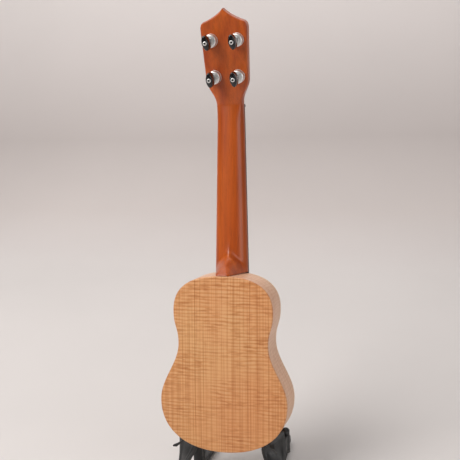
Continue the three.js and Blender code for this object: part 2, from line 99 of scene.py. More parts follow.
# ---- camera
VIEW_TURN = radians(14.71)
VIEW_RISE = radians(4.39)
VIEW_ROLL = radians(-0.38)
VIEW_AT = Vector((-2.86, 0, 299.94))
VIEW_FAR = 1188.26

camera_data = bpy.data.cameras.new("camera")
camera_data.sensor_width = 36
camera_data.lens = 66.54
camera_data.clip_start = 0.05
camera_data.clip_end = 20
away = Vector((
    sin(VIEW_TURN) * cos(VIEW_RISE),
    -cos(VIEW_TURN) * cos(VIEW_RISE),
    sin(VIEW_RISE)))
place = Matrix.Translation((VIEW_AT + away * VIEW_FAR) * MM)
facing = away.to_track_quat("Z", "Y").to_matrix().to_4x4()
view = UKE @ place @ facing @ Matrix.Rotation(VIEW_ROLL, 4, "Z")
bpy.context.scene.camera = placed("camera", camera_data, view)


# ---- numbers
def lerp(a, b, t):
    return a + (b - a) * t


def ease(value, low, high):
    t = min(max((value - low) / (high - low), 0), 1)
    return t * t * (3 - 2 * t)


def turns(count):
    """Evenly spread angles of one full turn."""
    return [2 * pi * k / count for k in range(count)]


def round_in(near, radius):
    """The share of its radius that a round edge draws in, at a distance from its end."""
    return 1 - sqrt(max(0, 1 - (1 - min(near / radius, 1)) ** 2))


def bezier(points, t):
    points = [Vector(p) for p in points]
    while len(points) > 1:
        points = [a.lerp(b, t) for a, b in zip(points, points[1:])]
    return points[0]


def between(value, pairs):
    """A smooth curve through (place, value) pairs, read at a place."""
    if value <= pairs[0][0]:
        return pairs[0][1]
    for i in range(1, len(pairs)):
        if value <= pairs[i][0]:
            (a, u), (b, v) = pairs[i - 1], pairs[i]
            before = pairs[max(i - 2, 0)]
            after = pairs[min(i + 1, len(pairs) - 1)]
            slope_a = (v - before[1]) / max(b - before[0], 1e-9)
            slope_b = (after[1] - u) / max(after[0] - a, 1e-9)
            t = (value - a) / (b - a)
            span = b - a
            return (
                (2 * t ** 3 - 3 * t * t + 1) * u + (t ** 3 - 2 * t * t + t) * slope_a * span
                + (3 * t * t - 2 * t ** 3) * v + (t ** 3 - t * t) * slope_b * span)
    return pairs[-1][1]


# ---- materials
LOOKS = {}


class Look:
    """A node material under construction. Constant numbers go on the sockets themselves."""

    def __init__(self, name):
        self.name = name
        self.material = bpy.data.materials.new(name)
        self.material.use_nodes = True
        self.tree = self.material.node_tree
        self.shader = self.tree.nodes["Principled BSDF"]
        self.coords = self.tree.nodes.new("ShaderNodeTexCoord")

    def link(self, out, into):
        self.tree.links.new(out, into)

    def node(self, kind, **settings):
        n = self.tree.nodes.new("ShaderNode" + kind)
        for key, value in settings.items():
            if key[0].isupper():
                n.inputs[key.replace("_", " ")].default_value = value
            else:
                setattr(n, key, value)
        return n

    def stretched(self, scale=(1, 1, 1), source="Object", shift=(0, 0, 0)):
        n = self.node("Mapping", Scale=scale, Location=shift)
        self.link(self.coords.outputs[source], n.inputs["Vector"])
        return n.outputs["Vector"]

    def axis(self, letter, scale=(1, 1, 1), shift=(0, 0, 0)):
        n = self.node("SeparateXYZ")
        self.link(self.stretched(scale, "Object", shift), n.inputs[0])
        return n.outputs[letter]

    def noise(self, vector, scale, detail=3, rough=0.5, bent=0):
        n = self.node("TexNoise", Scale=scale, Detail=detail, Roughness=rough, Distortion=bent)
        self.link(vector, n.inputs["Vector"])
        return n.outputs["Fac"]

    def wave(self, vector, scale, bent, detail, axis, bend_scale=1):
        n = self.node("TexWave", Scale=scale, Distortion=bent, Detail=detail, Detail_Scale=bend_scale)
        n.wave_type = "BANDS"
        n.bands_direction = axis
        self.link(vector, n.inputs["Vector"])
        return n.outputs["Fac"]

    def ramp(self, fac, *stops):
        n = self.node("ValToRGB")
        while len(n.color_ramp.elements) < len(stops):
            n.color_ramp.elements.new(0.5)
        for element, (position, color) in zip(n.color_ramp.elements, stops):
            element.position = position
            element.color = (*color, 1)
        self.link(fac, n.inputs["Fac"])
        return n.outputs["Color"]

    def mix(self, a, b, fac):
        n = self.node("Mix", data_type="RGBA", blend_type="MULTIPLY")
        self.link(a, n.inputs[6])
        self.link(b, n.inputs[7])
        if isinstance(fac, (int, float)):
            n.inputs[0].default_value = fac
        else:
            self.link(fac, n.inputs[0])
        return n.outputs[2]

    def bump(self, height, strength, distance):
        n = self.node("Bump", Strength=strength, Distance=distance)
        self.link(height, n.inputs["Height"])
        self.link(n.outputs["Normal"], self.shader.inputs["Normal"])

    def done(self, color=None, **settings):
        if color is not None:
            self.link(color, self.shader.inputs["Base Color"])
        for key, value in settings.items():
            self.shader.inputs[key.replace("_", " ")].default_value = value
        LOOKS[self.name] = self.material


def grey(v):
    return (v, v, v)


def maple(name, source, across, along, tone, rippling=None):
    """Figured maple: fine lines along the grain and ripples across it, with the axis that each runs on."""
    look = Look(name)

    def spread(a, b, c, shift=(0, 0, 0)):
        scale = [c, c, c]
        scale[across] = a
        scale[along] = b
        return look.stretched(tuple(scale), source, shift)

    lines = look.wave(spread(1, 0.02, 0.1), 39, 9, 3, "XYZ"[across], 0.5)
    line_fade = look.noise(spread(1, 0.25, 0.2, (1, 7, 2)), 60, 2)
    fine = look.noise(spread(1, 0.008, 0.2), 560, 2, 0.6)
    ripples = look.wave(spread(0.34, 1, 0.2, (0, 5, 0)), 66, 5.5, 2, "XYZ"[along], 0.75)
    breaks = look.noise(spread(0.22, 1, 0.2, (4, 2, 0)), 330, 1, 0.45, 0.4)
    patches = look.noise(spread(0.7, 1, 0.2, (7, 0, 1)), 24, 2)
    tint = look.noise(spread(1, 0.6, 0.5, (2, 2, 5)), 9, 2)
    base = look.ramp(tint, (0.34, tone[0]), (0.5, tone[1]), (0.68, tone[2]))
    line_shade = look.ramp(lines, (0, (0.84, 0.72, 0.60)), (0.06, (0.90, 0.81, 0.72)), (0.20, grey(1)))
    line_strength = look.ramp(line_fade, (0.38, grey(0.35)), (0.60, grey(0.80)))
    fine_shade = look.ramp(fine, (0.34, (0.76, 0.63, 0.50)), (0.50, grey(1)), (0.66, (1, 1.04, 1.08)))
    ripple_shade = look.ramp(ripples, (0, (0.84, 0.70, 0.54)), (0.5, grey(0.98)), (1, (1, 1.10, 1.20)))
    break_shade = look.ramp(breaks, (0.34, (0.76, 0.62, 0.48)), (0.50, grey(1)), (0.64, (1, 1.05, 1.1)))
    strength = look.ramp(patches, (0.36, grey(0.25)), (0.64, grey(0.90)))
    fade = look.ramp(look.axis("Z"), (0.01, (0.92, 0.85, 0.78)), (0.16, (1, 1, 1)))
    color = look.mix(look.mix(base, fade, 1), line_shade, line_strength)
    color = look.mix(color, fine_shade, 0.75)
    color = look.mix(color, look.mix(ripple_shade, break_shade, 0.85), rippling or strength)
    look.bump(fine, 0.05, 0.0004)
    look.done(color, Roughness=0.40, Coat_Weight=0.08, Coat_Roughness=0.3)


def plain_wood(name, low, high, lines_scale, stretch, rough, coat=0, pore=0.35):
    look = Look(name)
    lines = look.noise(look.stretched((1, 1, stretch)), lines_scale, 3, 0.6)
    broad = look.noise(look.stretched((1, 1, stretch * 2), "Object", (4, 2, 1)), lines_scale / 7, 2, 0.5, 0.4)
    pores = look.noise(look.stretched((1, 1, stretch * 1.6), "Object", (1, 7, 3)), lines_scale * 3, 2, 0.7)
    base = look.ramp(broad, (0.3, low), (0.7, high))
    fine = look.ramp(lines, (0.32, grey(1 - pore)), (0.62, grey(1)))
    dots = look.ramp(pores, (0.34, grey(1 - pore)), (0.44, grey(1)))
    color = look.mix(base, fine, 0.8)
    color = look.mix(color, dots, 0.7)
    look.bump(lines, 0.08, 0.0004)
    look.done(color, Roughness=rough, Coat_Weight=coat, Coat_Roughness=0.18)


def spruce(name):
    look = Look(name)
    vector = look.stretched((1, 0.3, 0.02))
    lines = look.wave(vector, 105, 2.2, 2, "X", 0.6)
    cloud = look.noise(look.stretched((1, 1, 0.1), "Object", (3, 3, 3)), 40, 3)
    silk = look.noise(look.stretched((0.2, 1, 1)), 260, 2)
    base = look.ramp(lines, (0, (0.62, 0.40, 0.19)), (0.35, (0.78, 0.57, 0.31)), (1, (0.86, 0.67, 0.40)))
    shade = look.ramp(cloud, (0.3, (0.86, 0.80, 0.72)), (0.7, grey(1)))
    sheen = look.ramp(silk, (0.35, grey(0.93)), (0.6, grey(1)))
    look.bump(lines, 0.04, 0.0003)
    color = look.mix(look.mix(base, shade, 0.8), sheen, 0.8)
    look.done(color, Roughness=0.38, Coat_Weight=0.2, Coat_Roughness=0.2)


def speckled(name, low, high, scale, rough_low, rough_high, metallic=0, bump=0.05, **more):
    """A plain material whose colour and roughness wander a little, with a fine skin."""
    look = Look(name)
    cloud = look.noise(look.stretched(), scale, 3)
    fine = look.noise(look.stretched((1, 1, 1), "Object", (5, 1, 2)), scale * 9, 4, 0.6)
    color = look.ramp(cloud, (0.3, low), (0.7, high))
    rough = look.ramp(fine, (0.35, grey(rough_low)), (0.65, grey(rough_high)))
    look.link(rough, look.shader.inputs["Roughness"])
    look.bump(fine, bump, 0.0003)
    look.done(color, Metallic=metallic, **more)


maple("maple_back", "Object", 0, 2, ((0.72, 0.325, 0.13), (0.73, 0.36, 0.155), (0.74, 0.40, 0.175)))
maple("maple_rib", "UV", 1, 0, ((0.80, 0.47, 0.30), (0.84, 0.52, 0.34), (0.86, 0.56, 0.37)), 0.3)
spruce("spruce")
plain_wood("mahogany", (0.38, 0.056, 0.0045), (0.57, 0.112, 0.009), 420, 0.035, 0.36, 0.12, 0.25)
plain_wood("ebony", (0.022, 0.013, 0.009), (0.060, 0.032, 0.020), 380, 0.03, 0.42, 0, 0.4)
plain_wood("rosewood", (0.070, 0.030, 0.018), (0.140, 0.060, 0.032), 300, 0.04, 0.42, 0, 0.45)
plain_wood("bare", (0.50, 0.34, 0.18), (0.64, 0.46, 0.27), 260, 0.05, 0.8)
speckled("bone", (0.74, 0.70, 0.60), (0.84, 0.81, 0.72), 120, 0.34, 0.48, Subsurface_Weight=0.08)
speckled("fret", (0.62, 0.61, 0.58), (0.76, 0.75, 0.72), 300, 0.16, 0.30, 1, 0.03)
speckled("nickel", (0.80, 0.80, 0.79), (0.92, 0.92, 0.90), 240, 0.34, 0.48, 0.85, 0.06)
speckled("steel", (0.52, 0.53, 0.54), (0.68, 0.68, 0.69), 260, 0.2, 0.34, 1, 0.05)
speckled("gloss", (0.004, 0.004, 0.005), (0.009, 0.009, 0.010), 90, 0.10, 0.18, 0, 0.01, Coat_Weight=0.3)
speckled("gunmetal", (0.05, 0.05, 0.055), (0.09, 0.09, 0.095), 200, 0.4, 0.55, 0.7, 0.05)
# painted shade: near-black for the sunk centre and cross slot of the button screws
speckled("painted_recess_shade", (0.006, 0.006, 0.006), (0.02, 0.02, 0.02), 300, 0.5, 0.7, 0.6)
speckled("plastic", (0.020, 0.021, 0.021), (0.036, 0.037, 0.038), 30, 0.36, 0.50, 0, 0.10)
speckled("rubber", (0.012, 0.012, 0.013), (0.028, 0.028, 0.028), 160, 0.72, 0.90, 0, 0.18)
speckled("nylon", (0.70, 0.68, 0.62), (0.82, 0.80, 0.75), 400, 0.22, 0.34, 0, 0.02,
         Transmission_Weight=0.25)
speckled("pearl", (0.70, 0.74, 0.72), (0.90, 0.88, 0.84), 700, 0.14, 0.26, 0, 0.02, Coat_Weight=0.5)
speckled("ring_pale", (0.66, 0.48, 0.26), (0.78, 0.60, 0.36), 500, 0.36, 0.48)
speckled("ring_dark", (0.018, 0.012, 0.009), (0.045, 0.028, 0.02), 500, 0.36, 0.48)


# ---- meshes
def piece(name, shape, look, angle=32, nodes=None, place=UKE, body="ukulele", uvs=None):
    """It stands for the CAD nodes named, or, where none are named, for the node of its own name."""
    verts, faces = shape
    mesh = bpy.data.meshes.new(name)
    mesh.from_pydata([tuple(Vector(v) * MM) for v in verts], [], faces)
    if uvs:
        layer = mesh.uv_layers.new(name="UVMap")
        for loop in mesh.loops:
            layer.data[loop.index].uv = uvs[loop.vertex_index]
    work = bmesh.new()
    work.from_mesh(mesh)
    bmesh.ops.recalc_face_normals(work, faces=work.faces)
    work.to_mesh(mesh)
    work.free()
    mesh.shade_smooth()
    mesh.set_sharp_from_angle(angle=radians(angle))
    mesh.materials.append(LOOKS[look])
    obj = placed(name, mesh, place)
    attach(obj, body)
    nodes = [name] if nodes is None else nodes
    if nodes:
        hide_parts(*nodes)


def soften(obj, width):
    bevel = obj.modifiers.new("soft_edges", "BEVEL")
    bevel.width = width * MM
    bevel.segments = 3
    bevel.limit_method = "ANGLE"
    bevel.angle_limit = radians(30)
    bevel.harden_normals = True


def loft(rings, around=True, ends=True, loop=False):
    """Corners and faces of a surface through rings of equal length."""
    count = len(rings[0])
    verts = [p for ring in rings for p in ring]
    faces = []
    steps = len(rings) if loop else len(rings) - 1
    sides = count if around else count - 1
    for i in range(steps):
        low, high = i * count, ((i + 1) % len(rings)) * count
        for k in range(sides):
            n = (k + 1) % count
            faces.append((low + k, low + n, high + n, high + k))
    if ends and not loop:
        faces.append(tuple(range(count)))
        faces.append(tuple(range((len(rings) - 1) * count, len(rings) * count)))
    return verts, faces


def merged(*parts):
    verts, faces = [], []
    for v, f in parts:
        start = len(verts)
        verts += v
        faces += [tuple(start + i for i in face) for face in f]
    return verts, faces


def lathe(profile, sides=48, ripple=None):
    """A round piece about Z from (radius, height) pairs. ripple(turn, height) adds to the radius."""
    rings = []
    for radius, height in profile:
        ring = []
        for turn in turns(sides):
            r = radius + (ripple(turn, height) if ripple and radius > 0.5 else 0)
            ring.append((r * cos(turn), r * sin(turn), height))
        rings.append(ring)
    return loft(rings)


def moved(part, by):
    verts, faces = part
    return [tuple(Vector(v) + Vector(by)) for v in verts], faces


def tube(route, radius, sides=12):
    """A round tube along a route of corners."""
    route = [Vector(p) for p in route]
    rings = []
    side = Vector((1, 0, 0))
    for i, p in enumerate(route):
        ahead = (route[min(i + 1, len(route) - 1)] - route[max(i - 1, 0)]).normalized()
        side = (side - ahead * side.dot(ahead)).normalized()
        up = ahead.cross(side)
        rings.append([tuple(p + (side * cos(t) + up * sin(t)) * radius) for t in turns(sides)])
    return loft(rings)


def smooth_route(points, steps):
    """A curve through points."""
    points = [Vector(p) for p in points]
    out = []
    for i in range(len(points) - 1):
        a, b = points[i], points[i + 1]
        before = points[i - 1] if i else a * 2 - b
        after = points[i + 2] if i + 2 < len(points) else b * 2 - a
        for k in range(steps):
            t = k / steps
            out.append(0.5 * (
                2 * a + (b - before) * t + (2 * before - 5 * a + 4 * b - after) * t * t
                + (3 * a - before - 3 * b + after) * t ** 3))
    out.append(points[-1])
    return out


def rounded_box(low, high, radius, steps=3):
    """A box with round edges, as corners and faces."""
    low, high = Vector(low), Vector(high)
    middle = (low + high) / 2
    half = (high - low) / 2
    radius = min(radius, *half)
    rings = []
    arcs = [pi / 2 * k / steps for k in range(steps, -1, -1)]
    under = [(radius * (1 - cos(t)), -half.z + radius * (1 - sin(t))) for t in arcs]
    profile = under + [(inset, -height) for inset, height in reversed(under)]
    for inset, z in profile:
        ring = []
        for sx, sy, start in ((1, 1, 0), (-1, 1, 1), (-1, -1, 2), (1, -1, 3)):
            for k in range(steps + 1):
                turn = pi / 2 * (start + k / steps)
                r = max(radius - inset, 0.02)
                ring.append((
                    middle.x + sx * (half.x - radius) + r * cos(turn),
                    middle.y + sy * (half.y - radius) + r * sin(turn),
                    middle.z + z))
        rings.append(ring)
    return loft(rings)


def turned_by(part, matrix):
    verts, faces = part
    return [tuple(matrix @ Vector(v)) for v in verts], faces


def flipped(part):
    verts, faces = part
    return [(-x, y, z) for x, y, z in verts], faces


# ---- body outline
LOWER, WAIST, UPPER = (88.7, 68.8), (62.7, 148.5), (69.4, 193.7)
CURVES = [
    [(0, 0), (57.4, 0), (LOWER[0], LOWER[1] - 40.3), LOWER],
    [LOWER, (LOWER[0], LOWER[1] + 29.4), (WAIST[0], WAIST[1] - 28.6), WAIST],
    [WAIST, (WAIST[0], WAIST[1] + 21.8), (UPPER[0], UPPER[1] - 23.9), UPPER],
    [UPPER, (UPPER[0], UPPER[1] + 27.1), (53, BODY_LENGTH), (0, BODY_LENGTH)],
]
SIDE_STEPS = 26


def side_points(inset, steps=SIDE_STEPS):
    out = []
    for order, curve in enumerate(CURVES):
        for k in range(0 if order == 0 else 1, steps + 1):
            t = k / steps
            p = bezier(curve, t)
            along = (bezier(curve, min(t + 1e-3, 1)) - bezier(curve, max(t - 1e-3, 0))).normalized()
            out.append((p.x - along.y * inset, p.y + along.x * inset))
    out[0] = (0, out[0][1])
    out[-1] = (0, out[-1][1])
    return out


def outline(inset):
    right = side_points(inset)
    return right + [(-x, z) for x, z in reversed(right[1:-1])]


def outline_height(x):
    low, high = 0, 1
    for _ in range(24):
        middle = (low + high) / 2
        if bezier(CURVES[0], middle).x < abs(x):
            low = middle
        else:
            high = middle
    return bezier(CURVES[0], low).y


# ---- soundbox
PLATE_CENTRE = 125


def plate(edge, face, hole=None):
    """An edge profile of (inset, depth) pairs, then a face that runs in to a centre or a hole."""
    rings = [[(x, y, z) for x, z in outline(inset)] for inset, y in edge]
    rim = outline(edge[-1][0])
    steps = 18
    for k in range(1, steps + 1):
        f = 1 - k / steps
        ring = []
        for x, z in rim:
            if hole:
                angle = atan2(z - HOLE_Z, x)
                hx, hz = hole * cos(angle), HOLE_Z + hole * sin(angle)
                px, pz = lerp(hx, x, f), lerp(hz, z, f)
            else:
                f2 = max(f, 0.002)
                px, pz = x * f2, lerp(PLATE_CENTRE, z, f2)
            ring.append((px, face(f), pz))
        rings.append(ring)
    return rings


def dome(f):
    return -BODY_DEPTH - 1.3 * (1 - f ** 2.2)


back_edge = [(2.2, -53), (0.12, -53), (0, -53.15), (0, -53.5), (0.15, -54.1), (0.55, -54.6),
             (1.1, -54.88), (1.8, -55), (3, -55.03)]
back_rings = plate(back_edge, dome)
inner = plate([(2.2, -53)], lambda f: -53 - 1.2 * (1 - f ** 2.2))
back = merged(loft(back_rings, ends=False), loft(inner, ends=False))
piece("back_plate", back, "maple_back", 40)

front_edge = [(2.2, -2), (0.12, -2), (0, -1.85), (0, -1.3), (0.15, -0.75), (0.5, -0.32), (1, -0.08),
              (1.7, 0)]
front_rings = plate(front_edge, lambda f: 0, HOLE_RADIUS)
hole_ring = front_rings[-1]
lip = [[(x * s, y, HOLE_Z + (z - HOLE_Z) * s) for x, _, z in hole_ring]
       for s, y in ((0.985, -0.12), (0.975, -0.45), (0.975, -1.6), (1, -2), (1.4, -2))]
under = plate([(2.2, -2)], lambda f: -2, HOLE_RADIUS)
front = merged(loft(front_rings + lip, ends=False), loft(under, ends=False))
piece("soundboard", front, "spruce", 40)

RIB_SECTION = [(0.3, -2.02), (0.02, -2.2), (0, -6), (0, -16), (0, -28), (0, -40), (0, -49),
               (0.02, -52.8), (0.3, -52.98), (2, -52.98), (2, -28), (2, -2.02)]


def rib(side, word):
    rows = [side_points(inset, 22) for inset, _ in RIB_SECTION]
    rings, uvs, run = [], [], 0
    for k in range(len(rows[0])):
        if k:
            run += dist(rows[2][k], rows[2][k - 1])
        ring = []
        for (x, z), (_, y) in zip([row[k] for row in rows], RIB_SECTION):
            ring.append((side * max(x, 0.12), y, z))
            uvs.append((run * MM + (0.3 if side < 0 else 0), y * MM))
        rings.append(ring)
    piece("rib_" + word, loft(rings), "maple_rib", 40, uvs=uvs)


rib(1, "right")
rib(-1, "left")

for node in ("neck_block", "tail_block", "top_brace_upper", "top_brace_lower", "back_brace_upper",
             "back_brace_lower"):
    obj = frame["nodes"][node]
    obj.data.materials.clear()
    obj.data.materials.append(LOOKS["bare"])
    soften(obj, 0.8)


def flat_ring(inner_radius, outer_radius, low, high):
    edge = 0.08
    profile = [(inner_radius, low), (outer_radius, low), (outer_radius, high - edge),
               (outer_radius - edge, high), (inner_radius + edge, high), (inner_radius, high - edge)]
    rings = []
    for turn in turns(96):
        rings.append([(r * cos(turn), y, HOLE_Z + r * sin(turn)) for r, y in profile])
    return loft(rings, loop=True)


for name, radii, look in (
        ("rosette_outer", ((28.5, 29.2), (32.8, 33.5)), "ring_dark"),
        ("rosette_lines", ((29.2, 29.7), (32.3, 32.8)), "ring_pale"),
        ("rosette_band", ((29.7, 32.3),), "rosewood")):
    parts = [flat_ring(a, b, -0.6, 0.05) for a, b in radii]
    piece(name, merged(*parts), look, 30, ["rosette"])


# ---- neck and headstock
HEAD_SIDE = [((18.7, 6), (18.7, 20), (28, 27), (29, 38.5)), ((29, 38.5), (32.2, 108.3)),
             ((32.2, 108.3), (32.2, 115.3), (27, 117.5)), ((27, 117.5), (7, 125.5), (0, 134.3))]


def head_points():
    """(half width, distance from the nut) up one side of the headstock."""
    out = [(18.7, 0), (18.7, 3)]
    for curve, steps in zip(HEAD_SIDE, (12, 8, 9, 22)):
        for k in range(1 if out[-1][1] >= 6 else 0, steps + 1):
            p = bezier(curve, k / steps)
            if p.y > out[-1][1] + 1e-6:
                out.append((p.x, p.y))
    return out


def up_neck(z):
    """How far up the neck a height is: 0 at the body, 1 at the nut."""
    return (z - BODY_LENGTH) / (NUT_Z - BODY_LENGTH)


def board_half(z):
    return lerp(HALF_AT_BODY, HALF_AT_NUT, up_neck(z))


def neck_depth(z):
    return lerp(NECK_DEPTH_LOW, NECK_DEPTH_NUT, up_neck(z))


HEEL_DEPTH = [(242, 55), (244, 54.4), (248, 48.2), (252.6, 41), (257, 32.4), (261, 26), (266, 21.6),
              (273, 18.3), (284, 15.4), (294, 12)]
HEEL_CREST = [(242, 9.4), (244, 8.8), (248, 7), (252.6, 5.2), (257, 3.6), (261, 2.6), (266, 1.8),
              (273, 1.2), (284, 0.6)]


def heel_depth(z, x, half):
    """Depth of the heel's two straight cheeks and its crest, at a distance from the middle."""
    top, crest = between(z, HEEL_DEPTH), between(z, HEEL_CREST)
    cheek = top * (half - abs(x)) / max(half - crest, 1)
    soft = lerp(2.6, 1, ease(z, 246, 276))
    return min(cheek, top) - soft * max(0, 1 - abs(cheek - top) / (4 * soft)) ** 2


def soft_max(a, b, soft):
    return max(a, b) + soft * max(0, 1 - abs(a - b) / (4 * soft)) ** 2


SECTION = 36


def shaft_half(z, half):
    """Half of the neck's section in millimetres, from the board's edge round to the back."""
    out = []
    depth = neck_depth(z)
    for i in range(SECTION + 1):
        u = i / SECTION
        x = cos(u * pi / 2) ** 0.85 * half
        y = sin(u * pi / 2) * depth
        if z < HEEL_END:
            y = soft_max(y, heel_depth(z, x, half), 0.7 * ease(i, 0, 3) + 1e-3)
        out.append((x, y))
    return out


def slab_half(half, depth, slope):
    """Half of the headstock's section in millimetres, its back edges rounded."""
    round_y = 2.2
    round_x = min(round_y * sqrt(1 + slope * slope), half * 0.9)
    out = []
    for i in range(SECTION + 1):
        u = i / SECTION
        if u < 0.25:
            out.append((half, (depth - round_y) * u / 0.25))
        elif u < 0.5:
            t = (u - 0.25) / 0.25 * pi / 2
            out.append((half - round_x * (1 - cos(t)), depth - round_y + round_y * sin(t)))
        else:
            out.append(((half - round_x) * (1 - u) / 0.5, depth))
    return out


def neck_rings():
    rings = []
    stations = []
    z = BODY_LENGTH + 0.15
    while z < HEEL_END:
        stations.append(z)
        z += 1.6
    while z < NUT_Z - 30:
        stations.append(z)
        z += 7
    while z < NUT_Z + NUT_THICK:
        stations.append(z)
        z += 2.2
    head = head_points()
    pieces = [(s, min(board_half(s), HALF_AT_BODY), 0) for s in stations]
    for i, (half, s) in enumerate(head):
        if s < NUT_THICK:
            continue
        a, b = head[max(i - 1, 0)], head[min(i + 1, len(head) - 1)]
        slope = (b[0] - a[0]) / max(b[1] - a[1], 1e-6)
        pieces.append((NUT_Z + s, max(half, 0.08), slope))
    for s, half, slope in pieces:
        past = s - NUT_Z - NUT_THICK
        turn = HEAD_ANGLE * ease(s, NUT_Z - 20, NUT_Z + 26)
        block = ease(s, NUT_Z - 26, NUT_Z + 40)
        depth = neck_depth(s) if s < NUT_Z else lerp(NECK_DEPTH_NUT, HEAD_THICK, ease(s, NUT_Z, NUT_Z + 20))
        if past > 0:
            start = Vector((0, -sin(HEAD_ANGLE) * past, NUT_Z + NUT_THICK + cos(HEAD_ANGLE) * past))
        else:
            start = Vector((0, 0, s))
        down = Vector((0, -cos(turn), -sin(turn)))
        skip = 2.15 * ease(past, 0, 1.6) if past > 0 else 0
        shaft = shaft_half(min(s, NUT_Z), half)
        slab = slab_half(half, depth, slope)
        side = []
        for (ax, ay), (bx, by) in zip(shaft, slab):
            x, y = lerp(ax, bx, block), max(lerp(ay, by, block), skip)
            side.append((x, y))
        ring = [start + Vector((x, 0, 0)) + down * y for x, y in side]
        ring += [start + Vector((-x, 0, 0)) + down * y for x, y in reversed(side[:-1])]
        rings.append([tuple(p) for p in ring])
    return rings


piece("neck", loft(neck_rings()), "mahogany", 48)


def head_slab(low, high, start, edge):
    """The whole headstock outline as a slab between two depths, its front edge rounded."""
    head = [(x, z) for x, z in head_points() if z > start + 0.3]
    side = [(head[0][0], start)] + head
    rings = []
    for inset, y in ((0, low), (0, high - edge), (edge * 0.3, high - edge * 0.3), (edge, high)):
        right = []
        for i, (x, z) in enumerate(side):
            a, b = side[max(i - 1, 0)], side[min(i + 1, len(side) - 1)]
            along = Vector((b[0] - a[0], b[1] - a[1])).normalized()
            nx, nz = x - along.y * inset, z + along.x * inset
            right.append((max(nx, 0), max(nz, start) if i else start))
        right[-1] = (0, side[-1][1] - inset * 1.3)
        full = right + [(-x, z) for x, z in reversed(right[:-1])]
        rings.append([(x, y, z - NUT_THICK) for x, z in full])
    return loft(rings)


veneer = head_slab(-VENEER, 0, NUT_THICK + 1.2, 0.7)
piece("headstock_veneer", veneer, "mahogany", 30, place=HEAD)


# ---- fretboard, frets, nut
def fretboard():
    low, high = GAP - 0.28, GAP + BOARD_THICK
    rings = []
    for z in [NUT_Z - BOARD_LENGTH + k * BOARD_LENGTH / 40 for k in range(41)]:
        half = board_half(z)
        end = ease(z, NUT_Z - BOARD_LENGTH, NUT_Z - BOARD_LENGTH + 1)
        shy = (1 - end) * 0.4
        rings.append([
            (half - shy, low, z), (half - shy, high - 0.5 - shy, z), (half - 0.4 - shy, high - shy, z),
            (0, high - shy + 0.02, z),
            (-half + 0.4 + shy, high - shy, z), (-half + shy, high - 0.5 - shy, z), (-half + shy, low, z)])
    return loft(rings)


piece("fretboard", fretboard(), "ebony", 30)


def fret_z(number):
    return NUT_Z - SCALE * (1 - 2 ** (-number / 12))


def fret(number):
    z = fret_z(number)
    half = board_half(z) - 0.15
    base = GAP + BOARD_THICK
    rings = []
    for x, size in ((-half, 0.45), (-half + 0.35, 0.8), (-half + 1, 1), (0, 1), (half - 1, 1),
                    (half - 0.35, 0.8), (half, 0.45)):
        rings.append([
            (x, base + 1.08 * size * sin(pi * k / 10), z + 1.08 * cos(pi * k / 10))
            for k in range(11)])
    return loft(rings)


for number in range(1, FRET_COUNT + 1):
    name = f"fret_{number:02d}"
    piece(name, fret(number), "fret", 40, None if number <= CAD_FRETS else ())


def dot(x, number, size=3):
    z = (fret_z(number) + fret_z(number - 1)) / 2
    top = GAP + BOARD_THICK
    profile = [(size, 0), (size, 0.05), (size - 0.25, 0.12), (size * 0.5, 0.16), (0.05, 0.17)]
    spin = Matrix.Rotation(-pi / 2, 4, "X")
    return moved(turned_by(lathe(profile, 32), spin), (x, top - 0.06, z))


dots = [dot(0, n) for n in (5, 7, 10)] + [dot(-7, 12), dot(7, 12)]
piece("position_marks", merged(*dots), "pearl", nodes=())


def string_x(order, z):
    share = lerp(-1, 1, order / 3)
    return share * lerp(13.8, 20.5, (NUT_Z - z) / SCALE)


def notched_bar(half, low, high, z_low, z_high, slots, slot_depth, crown, bow=0):
    """A bone bar across the strings with a rounded top and a notch for each string."""
    marks = {-half, -half + 0.5, half - 0.5, half}
    x = -half
    while x < half:
        marks.add(round(x, 3))
        x += 1.5
    for s in slots:
        marks.update((s - 0.75, s - 0.45, s - 0.2, s, s + 0.2, s + 0.45, s + 0.75))
    rings = []
    for x in sorted(marks):
        near = min(abs(x - s) for s in slots)
        notch = slot_depth * max(0, 1 - (near / 0.6) ** 2) if near < 0.6 else 0
        end = 0.35 if abs(x) > half - 0.3 else 0
        top = high - bow * (x / half) ** 2 - end
        ring = [(x, low, z_low + end), (x, top - crown - notch * 0.5, z_low + end)]
        for k in range(7):
            t = k / 6
            ring.append((x, top - crown * (2 * t - 1) ** 2 - notch, lerp(z_low + 0.3, z_high - 0.3, t)))
        ring += [(x, top - crown - notch * 0.5, z_high - end), (x, low, z_high - end)]
        rings.append(ring)
    return loft(rings)


nut_slots = [string_x(k, NUT_Z) for k in range(4)]
nut = notched_bar(HALF_AT_NUT, GAP, NUT_TOP + 0.5, NUT_Z + GAP, NUT_Z + NUT_THICK, nut_slots, 0.7, 0.6)
piece("nut", nut, "ebony", 40)
saddle_slots = [string_x(k, SADDLE_Z) for k in range(4)]
saddle = notched_bar(
    27, 4.3, SADDLE_TOP + 0.2, SADDLE_Z - 1.5, SADDLE_Z + 1.5, saddle_slots, 0.15, 0.5, 0.5)
piece("bridge_saddle", saddle, "bone", 40)


# ---- bridge
BRIDGE_HALF, BRIDGE_WIDE = 37, 21
BRIDGE_STEPS = [BRIDGE_HALF, 36.4, 35, 32.5, 30, 28.6, 28, 27.4]
BRIDGE_SECTION = [(0, 0.35), (0, 4.6), (0.04, 6.6), (0.10, 7.45), (0.30, 7.5), (0.36, 7), (0.40, 3.6),
                  (0.52, 3.3), (0.54, 5.4), (0.56, 5.9), (0.70, 5.9), (0.78, 5.6), (0.90, 4), (0.97, 2.8),
                  (1, 1.8), (1, 0.35)]


